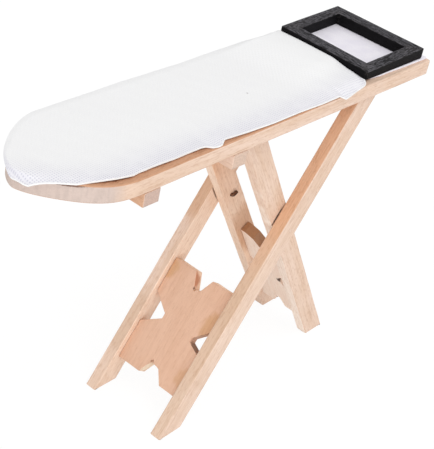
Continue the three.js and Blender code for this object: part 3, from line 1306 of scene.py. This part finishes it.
@dataclass
class HemGlueAndShadowLine:
    """The thin line below the lifted near hem: partly dried glue, partly a painted shadow where the
    hem shades the board.
    """

    cover: ClothCover
    x: Pair = (-45.5, 19.0)
    places: int = 260
    hem_gap: float = 0.1
    edge_gap: float = 0.06
    width: float = 0.7
    sunk: float = 0.3
    height: float = 0.12

    def build(self) -> None:
        """Makes the line as a flat ribbon.

        At each place along the hem its section is a low box that starts just inside the hem,
        ends under the cloth and is sunk into the board.
        """
        board = self.cover.board
        x = np.linspace(*self.x, self.places)
        near, _ = self.cover.edges(x)
        wander = 0.05 * np.sin(1.9 * x) + 0.05 * np.sin(4.3 * x + 1.0)
        outside = np.maximum(near + self.hem_gap + wander, -board.half_width + self.edge_gap)
        inside = np.maximum(near, outside) + self.width
        low = np.full_like(x, board.top - self.sunk)
        high = board.top + self.height + 0.03 * np.sin(2.7 * x)
        corners = ((outside, low), (inside, low), (inside, high), (outside + 0.05, high))
        section = np.stack([np.stack([x, y, z], axis=1) for y, z in corners], axis=1)
        points = section.reshape(-1, 3)
        faces = strip_faces(self.places, 4, 0, closed=True)
        faces += [[3, 2, 1, 0], list(range(len(points) - 4, len(points)))]
        brown = {"pale": (176, 126, 94), "deep": (146, 100, 74), "end": (150, 104, 78)}
        # Partly dried glue, partly painted shadow: a brown ribbon seen in the gap below the lifted
        # hem.
        glue = Wood("glue_and_painted_shadow", GRAIN_ALONG, **brown).material()
        shape = Shape(points, faces, np.zeros(len(points)))
        piece("hem_glue_and_shadow_line", shape, "board_body", glue)


@dataclass
class Underlay:
    """The felt paper below the rest frame, a touch out of square as scissors leave it."""

    x: Pair = (32.3, 55.8)
    half_width: float = 12.3
    low: float = 76.03
    high: float = 76.45
    arris: float = 0.1
    cut: Cut = Cut(0.3, 0.8, 0.06)
    corners: tuple[Pair, ...] = (
        (32.3, -11.0), (37.3, -11.65), (55.8, -12.1), (55.68, 12.3), (32.3, 12.15),
    )

    def build(self) -> None:
        outline = self.cut.outline(np.array(self.corners), seed=11)
        shape = slab(outline, self.low, self.high, self.arris, LEVEL)
        paper = FeltPaper().material()
        sheet = piece("felt_underlay", shape, "board_body", paper, ("paper_underlay",))


@dataclass
class RestFrame:
    """Four mitred rails, painted black, around an open well."""

    x: Pair = (31.45, 53.65)
    y: Pair = (-11.7, 12.7)
    low: float = 76.5
    height: float = 2.4
    end_rail: float = 3.5
    side_rail: float = 2.9
    arris: float = 0.17
    skew: float = 0.6
    sway: float = 0.02
    edge_points: int = 24
    lifts: tuple[float, float, float, float] = (-0.5, 0.1, 0.3, 0.2)

    def planed(self, points: np.ndarray) -> np.ndarray:
        """Tilts the rails' upper side, which was planed by hand after they were joined.

        A point rises by its share of the height above the middle of the rails, times the
        four corners' lifts weighed by how near each corner is along x and along y.

        Args:
            points: the points of a rail.

        Returns:
            The points where they end up.
        """
        (x0, x1), (y0, y1) = self.x, self.y
        u = np.clip((points[:, 0] - x0) / (x1 - x0), 0, 1)
        v = np.clip((points[:, 1] - y0) / (y1 - y0), 0, 1)
        shares = np.stack([(1 - u) * (1 - v), u * (1 - v), u * v, (1 - u) * v])
        above = np.clip(2 * (points[:, 2] - self.low) / self.height - 1, 0, 1)
        return points + (np.array(self.lifts) @ shares * above)[:, None] * (0, 0, 1)

    def build(self) -> None:
        """Makes the rails, each a trapezium between two outer and two inner corners.

        The paint bridges the mitres, so the rounded edges run on across them: at a corner
        both rails stand back along x and y alike.
        """
        (x0, x1), (y0, y1) = self.x, self.y
        outer = np.array([[x0, y0], [x1, y0], [x1, y1], [x0, y1 - self.skew]])
        inward = np.array([[1, 1], [-1, 1], [-1, -1], [1, -1]])
        inner = outer + np.array([self.end_rail, self.side_rail]) * inward
        along = BlackPaint("black_paint_lengthwise", GRAIN_ALONG).material()
        across = BlackPaint("black_paint_crosswise", GRAIN_ACROSS).material()
        rails = (("near", along), ("heel", across), ("far", along), ("nose", across))
        t = np.linspace(0, 1, self.edge_points)[:, None]
        for index, (name, paint) in enumerate(rails):
            after = (index + 1) % len(rails)
            sway = self.sway * np.sin(math.pi * t) * np.sin(9 * t + index)
            outline, steps = [], []
            for corners, a, b, sign in ((outer, index, after, -1), (inner, after, index, 1)):
                start, edge = corners[a], corners[b] - corners[a]
                aside = unit(np.array([edge[1], -edge[0]]))
                outline.append(start + edge * t + aside * sway)
                step = np.repeat(aside[None], self.edge_points, axis=0)
                step[0], step[-1] = sign * inward[a], sign * inward[b]
                steps.append(step)
            top = self.low + self.height
            flat, away = np.concatenate(outline), np.concatenate(steps)
            shape = slab(flat, self.low, top, self.arris, LEVEL, steps=away)
            shape = Shape(self.planed(shape.points), shape.faces, shape.worn)
            replaced = (f"rest_rail_{name}",)
            piece(f"painted_rail_{name}", shape, "board_body", paint, replaced)


# The legs


@dataclass
class LegPair:
    """Two legs and the notched panel between them. Each pair has its own outline and marks."""

    linkage: Linkage
    name: str
    tilt: int
    seed: int
    foot_x: float
    depth: float
    top_points: int
    panel_start: float
    panel_length: float
    panel_end: Triple
    panel_pale: Triple
    panel_deep: Triple
    panel_shares: tuple[Pair, ...]
    panel_marks_and_shade: tuple[Mark, ...]
    leg_end: Triple = (236, 210, 192)
    leg_cut: Cut = Cut(0.2, 1.3, 0.035)
    leg_arris: float = 0.25
    panel_cut: Cut = Cut(0.1, 0.9, 0.03, 3)
    panel_arris: float = 0.14
    panel_thickness: float = 2.8
    panel_gap: float = 0.08

    @property
    def lean(self) -> float:
        """The legs' angle from upright to the heel, in radians."""
        return self.tilt * self.linkage.lean

    @property
    def half(self) -> float:
        """Half of a foot's length on the floor."""
        return self.depth / 2 / math.cos(self.lean)

    @property
    def inside(self) -> float:
        """The inner face of a leg, as a distance from the middle."""
        return self.linkage.outer_inside if self.tilt > 0 else self.linkage.inner_inside

    @property
    def leg_marks_and_painted_light(self) -> tuple[Mark, ...]:
        """The marks, tones, and painted light and shade on both legs."""
        raise NotImplementedError

    def leg_outline(self) -> np.ndarray:
        """One leg from the near side, counter-clockwise."""
        raise NotImplementedError

    def bores(self) -> tuple[np.ndarray, ...]:
        """The holes through one leg."""
        return (self.linkage.bore(self.linkage.cross),)

    def build(self) -> None:
        """Makes the near and the far leg, then the panel."""
        body, grain = f"{self.name}_legs", Grain.leaning(math.degrees(self.lean))
        wood = Wood(f"{self.name}_wood", grain, end=self.leg_end, marks=self.leg_marks_and_painted_light).material()
        outside = self.inside + self.linkage.leg_thickness
        for side in Side:
            outline = self.leg_cut.outline(self.leg_outline(), self.seed + side.value)
            outline[:, 1] = np.maximum(outline[:, 1], 0)
            ends = side.depths(self.inside, outside)
            shape = slab(outline, *ends, self.leg_arris, UPRIGHT, self.bores())
            name, replaced = f"{self.name}_rail_{side.label}", f"{self.name}_leg_{side.label}"
            piece(name, shape, body, wood, (replaced,))
        shape, facing = self.panel()
        wood = Wood(
            f"{self.name}_panel_wood", grain, pale=self.panel_pale, deep=self.panel_deep,
            end=self.panel_end, marks=self.panel_marks_and_shade, face=facing, end_depth=0.88, flecks=0.2,
        ).material()
        replaced = (f"{self.name}_panel",)
        piece(f"{self.name}_notched_panel", shape, body, wood, replaced)

    def panel(self) -> tuple[Shape, Triple]:
        """The notched panel: shares of its width across and of its length along.

        Returns:
            Its shape, and the way that its broad side faces.
        """
        width = 2 * (self.inside - self.panel_gap)
        corners = np.array(self.panel_shares) * (width, self.panel_length)
        outline = self.panel_cut.outline(corners, self.seed + 5)
        up = self.linkage.up(self.tilt)
        origin = np.array([self.foot_x, 0, 0]) + np.array(up) * self.panel_start
        plane = Plane((0.0, 1.0, 0.0), up, tuple(origin.tolist()))
        half = self.panel_thickness / 2
        return slab(outline, -half, half, self.panel_arris, plane), tuple(plane.depth.tolist())


@dataclass
class OuterLegs(LegPair):
    """The pair that turns on the pivot block."""

    name: str = "outer"
    tilt: int = 1
    seed: int = 30
    foot_x: float = -12.05
    depth: float = 5.8
    back_reach: float = 4.6
    top_points: int = 12
    panel_start: float = 7.5
    panel_length: float = 26.2
    panel_end: Triple = (232, 196, 168)
    panel_pale: Triple = (228, 188, 162)
    panel_deep: Triple = (220, 177, 149)
    panel_shares: tuple[Pair, ...] = (
        (-0.5, 0), (-0.224, 0), (-0.094, 0.115), (0.02, 0.13), (0.022, 0.155), (0.045, 0.155),
        (0.047, 0.13), (0.14, 0), (0.5, 0), (0.5, 0.37), (0.23, 0.49), (0.23, 0.54), (0.5, 0.67),
        (0.5, 1), (0.14, 1), (0.047, 0.863), (0.045, 0.838), (0.02, 0.838), (0.018, 0.863),
        (-0.047, 0.863), (-0.14, 1), (-0.5, 1), (-0.5, 0.64), (-0.285, 0.5), (-0.285, 0.462),
        (-0.5, 0.395),
    )
    panel_marks_and_shade: tuple[Mark, ...] = (
        Mark((5.0, 0.0, 29.5), 11.0, (252, 222, 196), 0.85, Where.ON_EDGES),
        Mark((4.4, 0.74, 27.75), 2.6, (196, 128, 92), 0.9, Where.ON_EDGES),
        Mark((-2.0, -6.5, 15.4), 2.3, (134, 98, 78), 0.85, Where.ON_EDGES),
        Mark((-7.0, 1.6, 7.7), 2.4, (255, 238, 214), 0.9, Where.ON_EDGES),
        Mark((3.2, 0.6, 26.0), 0.6, (112, 74, 52), 0.85),
        Mark((-7.4, 0.6, 10.1), 0.6, (128, 84, 60), 0.8),
        Mark((0.44, -9.0, 21.7), 4.6, (206, 156, 108), 0.6),
        Mark((-6.66, -9.0, 10.8), 3.6, (206, 156, 108), 0.45),
        Mark((3.7, 9.0, 26.7), 3.2, (206, 160, 112), 0.6),
    )

    @property
    def leg_marks_and_painted_light(self) -> tuple[Mark, ...]:
        """Painted light and shade: paler far faces, darker orange edges high under the board, a
        paler near foot, and a painted shadow line along the far inner leg.
        """
        line = self.linkage.up(-1)
        return (
            Mark((0.0, 42.0, 30.0), 58.0, (253, 228, 207), 0.9, Where.ON_FACE),
            Mark((6.0, -60.0, 26.0), 71.0, (214, 182, 155), 0.95, Where.ON_EDGES),
            Mark((-12.0, -10.2, 4.0), 13.0, (224, 197, 175), 0.7, Where.ON_EDGES),
            Mark((24.0, -10.2, 57.0), 31.0, (220, 171, 134), 0.8, Where.ON_EDGES),
            Mark((-5.0, 10.2, 15.0), 10.0, (216, 184, 158), 0.6, Where.ON_EDGES),
            Mark((14.5, 10.0, 46.0), 12.0, (222, 183, 153), 0.95, Where.ON_EDGES),
            # Painted shadow line where the far inner leg passes behind its outer leg.
            Mark((14.75, 8.8, 42.86), 0.3, (128, 90, 64), 0.75, Where.ON_FACE, line),
        )

    def leg_outline(self) -> np.ndarray:
        """A level foot, a square back corner below the board and a round top.

        Returns:
            The outline.
        """
        link, radius = self.linkage, self.depth / 2
        back = link.pivot_x + self.back_reach
        low, high = (back - self.half - self.foot_x) / link.tan_lean, link.pivot_z + radius
        heel, toe = self.foot_x + self.half, self.foot_x - self.half
        angles = np.linspace(math.pi / 2, math.pi - self.lean, self.top_points)
        corners = np.array([[toe, 0], [heel, 0], [back, low], [back, high]])
        return np.concatenate([corners, arc(link.pivot, radius, angles)])

    def bores(self) -> tuple[np.ndarray, ...]:
        """The crossing nail's hole and the top nail's."""
        return (*super().bores(), self.linkage.bore(self.linkage.pivot))


@dataclass
class InnerLegs(LegPair):
    """The pair whose half-round tops slide under the board."""

    name: str = "inner"
    tilt: int = -1
    seed: int = 50
    foot_x: float = 45.85
    depth: float = 5.5
    top_points: int = 26
    panel_start: float = 7.3
    panel_length: float = 30.8
    panel_end: Triple = (226, 190, 164)
    panel_pale: Triple = (254, 236, 221)
    panel_deep: Triple = (250, 226, 208)
    panel_shares: tuple[Pair, ...] = (
        (-0.5, 0), (-0.15, 0), (-0.065, 0.119), (0.065, 0.119), (0.15, 0), (0.5, 0), (0.5, 0.36),
        (0.23, 0.46), (0.23, 0.5), (0.5, 0.61), (0.5, 1), (0.4, 1), (0.19, 0.96), (0.08, 0.893),
        (0.02, 0.866), (-0.065, 0.866), (-0.15, 1), (-0.5, 1), (-0.5, 0.61), (-0.23, 0.5),
        (-0.23, 0.46), (-0.5, 0.36),
    )
    panel_marks_and_shade: tuple[Mark, ...] = (
        # Partly end grain, partly painted shade: the panel's top edges turn dark brown under the
        # board.
        Mark((26.2, 0.0, 30.07), 12.0, (170, 122, 84), 0.9, Where.ON_EDGES),
        Mark((32.9, -2.65, 17.75), 0.9, (64, 42, 32), 0.9),
    )

    @property
    def leg_marks_and_painted_light(self) -> tuple[Mark, ...]:
        """Painted light and shade: a paler far leg, darker faces high under the board and by the
        panel's top, a paler lower edge on the near leg, a painted shadow line beside the outer leg,
        and pale rings at the nails.
        """
        line, up = self.linkage.up(1), self.linkage.up(-1)
        x, z = self.linkage.cross
        rings = (
            Mark((x, side.value * self.inside, z), 1.2, (243, 211, 184), 0.7) for side in Side
        )
        return (
            Mark((26.0, 40.0, 30.0), 52.0, (253, 226, 203), 0.9),
            Mark((6.0, 30.0, 61.0), 36.0, (231, 182, 145), 1.0, Where.ON_FACE),
            Mark((27.0, 6.0, 32.0), 10.0, (222, 180, 148), 0.8, Where.ON_FACE),
            Mark((31.5, -7.4, 14.9), 5.0, (255, 240, 227), 0.95, Where.ON_EDGES, up),
            # Painted shadow that the near outer leg casts on the inner leg's outer face.
            Mark((14.85, -8.5, 46.04), 0.3, (92, 60, 42), 0.9, Where.ON_FACE, line),
            *rings,
        )

    def leg_outline(self) -> np.ndarray:
        """A level foot and a half-round top.

        Returns:
            The outline.
        """
        feet = np.array([[self.foot_x - self.half, 0], [self.foot_x + self.half, 0]])
        centre = (self.linkage.pivot_x - self.linkage.top_span, self.linkage.pivot_z)
        angles = np.linspace(-self.lean, math.pi - self.lean, self.top_points)
        return np.concatenate([feet, arc(centre, self.depth / 2, angles)])


@dataclass
class Nails:
    """The bent crossing nails, the straight top nails and the fillers over them."""

    linkage: Linkage
    radius: float = 0.4
    set_in: float = 0.3
    tip_proud: float = 0.5
    tip_length: float = 1.3
    bend: float = 0.45
    tip_rise: float = 0.52
    top_end: float = 3.6
    filler_depth: float = 0.2
    filler_sunk: float = 0.005
    filler_gap: float = 0.003
    filler_arris: float = 0.01
    shank_points: int = 12

    def path(self, side: Side) -> tuple[np.ndarray, np.ndarray]:
        """The middle of one crossing nail.

        It runs straight in from the outer leg, bends round its corner and runs straight to
        its tip.

        Args:
            side: which nail it is.

        Returns:
            The path's points, and the unit vector square to its plane.
        """
        x, z = self.linkage.cross
        tip_y = self.linkage.inner_inside - self.tip_proud
        out = unit(np.array([1.0, 0.0, self.tip_rise]))
        across = np.array([0.0, float(side.value), 0.0])
        middle = np.array([x, 0.0, z])
        corner = middle + across * tip_y
        start = middle + across * (self.linkage.outer_face - self.set_in)
        first, last = corner + across * self.bend, corner + out * self.bend
        t = np.linspace(0, 1, 10)[:, None]
        curve = bent(first, corner, last, t)
        shank = start + (first - start) * np.linspace(0, 1, 8)[:-1, None]
        tip = last + out * (self.tip_length - self.bend) * np.linspace(0, 1, 5)[1:, None]
        return np.concatenate([shank, curve, tip]), np.cross(across, out)

    def build(self) -> None:
        """Makes each side's crossing nail, its two fillers and its top nail."""
        wire = NailWire().material()
        tones = {"deep": (229, 197, 172), "end": (236, 209, 190)}
        putty = Wood("wood_filler", GRAIN_ACROSS, **tones).material()
        link = self.linkage
        holes = (("crossing", link.cross), ("top", link.pivot))
        mouth = link.outer_face
        x, z = link.pivot
        reach = np.linspace(mouth - self.set_in, self.top_end, self.shank_points)
        for side in Side:
            shape, end = tube(*self.path(side), self.radius), side.label
            replaced = (f"cross_nail_{end}",)
            piece(f"bent_nail_{end}", shape, "outer_legs", wire, replaced)
            ends = side.depths(mouth - self.filler_depth, mouth - self.filler_sunk)
            for place, centre in holes:
                outline = circle(centre, link.bore_radius - self.filler_gap)
                shape = slab(outline, *ends, self.filler_arris, UPRIGHT)
                piece(f"{place}_filler_{end}", shape, "outer_legs", putty)
            path = np.array([(x, side.value * y, z) for y in reach])
            shape = tube(path, np.array([1.0, 0.0, 0.0]), self.radius)
            replaced = (f"top_nail_{end}",)
            piece(f"straight_nail_{end}", shape, "board_body", wire, replaced)


# The studio


@dataclass(frozen=True)
class Lamp:
    """One square soft box: its place and side in metres, and its power in watts."""

    name: str
    place: Triple
    size: float
    watts: float

    def build(self) -> None:
        """Hangs the lamp so that it looks at the middle of the board."""
        data = bpy.data.lights.new(self.name, "AREA")
        data.shape, data.size, data.energy = "SQUARE", self.size, self.watts
        lamp = placed(self.name, data)
        lamp.location = self.place
        aim = Vector((0, 0, 0.05)) - Vector(self.place)
        lamp.rotation_euler = aim.to_track_quat("-Z", "Y").to_euler()
        lamp.visible_camera = False


@dataclass
class Studio:
    """Camera, soft lights and a plain pale floor."""

    azimuth: float = -55.72
    elevation: float = 32.35
    roll: float = 12.35
    eye: Triple = (-0.17255, -0.12137, 0.17923)
    lens: float = 94.58
    world_level: float = 0.72
    floor_half: float = 2.0
    floor_tone: float = 0.9
    floor_glow: float = 1.04
    floor_lit: float = 0.88
    lamps: tuple[Lamp, ...] = (
        Lamp("key", (-0.05, -0.3, 0.75), 0.5, 1.7),
        Lamp("low_fill", (-0.42, -0.56, 0.05), 0.5, 1.45),
        Lamp("nose_fill", (-0.6, -0.15, 0.08), 0.4, 0.72),
    )

    def build_camera(self) -> None:
        """Places the camera at the photograph's angle, turned about its own axis."""
        a, e, r = (math.radians(v) for v in (self.azimuth, self.elevation, self.roll))
        back = Vector((math.sin(a) * math.cos(e), -math.cos(a) * math.cos(e), math.sin(e)))
        right = Vector((0, 0, 1)).cross(back).normalized()
        up = back.cross(right)
        turned = right * math.cos(r) + up * math.sin(r), up * math.cos(r) - right * math.sin(r)
        data = bpy.data.cameras.new("camera")
        data.lens, data.sensor_width, data.clip_start = self.lens, 36.0, 0.01
        camera = placed("camera", data)
        place = Matrix((*turned, back)).transposed().to_4x4()
        place.translation = Vector(self.eye)
        camera.matrix_world = place
        bpy.context.scene.camera = camera

    def build_floor(self) -> None:
        """Lays a white floor that keeps a light shadow and shows white to the camera."""
        a, b = -self.floor_half, self.floor_half
        mesh = bpy.data.meshes.new("floor")
        mesh.from_pydata([(a, a, 0), (b, a, 0), (b, b, 0), (a, b, 0)], [], [(0, 1, 2, 3)])
        floor = placed("floor", mesh)
        recipe = Recipe("floor_white")
        tone = (*(self.floor_tone,) * 3, 1)
        recipe.feed(recipe.shader, {"Base Color": tone, "Roughness": 0.9})
        glow = recipe.add("Emission", (1, 1, 1, 1), self.floor_glow).outputs[0]
        share = recipe.times(self.seen(recipe), self.floor_lit)
        blend = recipe.add("MixShader", share, recipe.shader.outputs[0], glow)
        recipe.feed(recipe.tree.nodes["Material Output"], {0: blend.outputs[0]})
        mesh.materials.append(recipe.material)

    def seen(self, recipe: Recipe) -> Socket:
        """1 for what the camera sees directly, in a gloss or through glass."""
        path = recipe.add("LightPath")
        rays = ("Is Camera Ray", "Is Glossy Ray", "Is Transmission Ray")
        camera, gloss, glass = (path.outputs[name] for name in rays)
        return recipe.math("MAXIMUM", recipe.math("MAXIMUM", camera, gloss), glass)

    def build_world(self) -> None:
        """Soft white light from everywhere, and plain white behind the object."""
        world = bpy.data.worlds.new("studio")
        world.use_nodes = True
        tree = world.node_tree
        shade = tree.nodes["Background"]
        path = tree.nodes.new("ShaderNodeLightPath")
        level = tree.nodes.new("ShaderNodeMapRange")
        tree.links.new(path.outputs["Is Camera Ray"], level.inputs[0])
        level.inputs[3].default_value, level.inputs[4].default_value = self.world_level, 1.0
        tree.links.new(level.outputs[0], shade.inputs["Strength"])
        shade.inputs["Color"].default_value = (1, 1, 1, 1)
        bpy.context.scene.world = world

    def build(self) -> None:
        """Makes the camera, the floor, the world and the lamps."""
        self.build_camera()
        self.build_floor()
        self.build_world()
        for lamp in self.lamps:
            lamp.build()
        bpy.context.scene.view_settings.view_transform = "Standard"


def main() -> None:
    """Builds the object and the studio."""
    logging.basicConfig(level=logging.INFO, format="%(message)s")
    link = Linkage()
    board = Board(link)
    board.build()
    cover = ClothCover(board)
    cover.build()
    HemGlueAndShadowLine(cover).build()
    Underlay().build()
    RestFrame().build()
    OuterLegs(link).build()
    InnerLegs(link).build()
    Nails(link).build()
    Studio().build()


if __name__ == "__main__":
    main()
